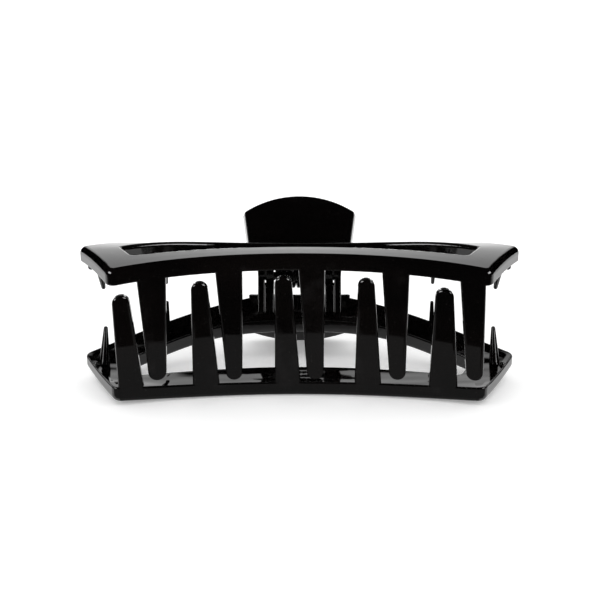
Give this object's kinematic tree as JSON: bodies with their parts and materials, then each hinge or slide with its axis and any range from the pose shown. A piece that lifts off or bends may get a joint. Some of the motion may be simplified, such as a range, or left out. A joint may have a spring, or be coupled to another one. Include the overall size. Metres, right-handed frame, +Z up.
{
  "type": "hair claw clip",
  "caption": "Hair claw clip: two arched open-frame jaws with interlocking curved teeth, thumb tabs and a sprung hinge.",
  "frame": {"origin": "centre of the footprint, on the surface the clip lies on", "axes": "+X along the clip's length, +Y from the teeth to the hinge and tabs, +Z up from the lower jaw to the upper"},
  "size_m": [0.1102, 0.0588, 0.0422],
  "materials": {
    "gloss_black": "polished black",
    "pin_steel": "blackened steel",
    "spring_steel": "blackened spring steel"
  },
  "bodies": {
    "lower": {"lower_jaw": "gloss_black", "hinge_pin": "pin_steel", "torsion_spring": "spring_steel"},
    "upper": {"upper_jaw": "gloss_black"}
  },
  "joints": [
    {"name": "jaw_hinge", "type": "hinge", "parent": "lower", "child": "upper", "pos_m": [0, 0.02012, 0.02079], "axis": [-1, 0, 0], "range_deg": [0, 55], "stiffness_Nm_per_rad": 0.12, "springref_deg": -40.11, "deforming": ["torsion_spring"]}
  ]
}
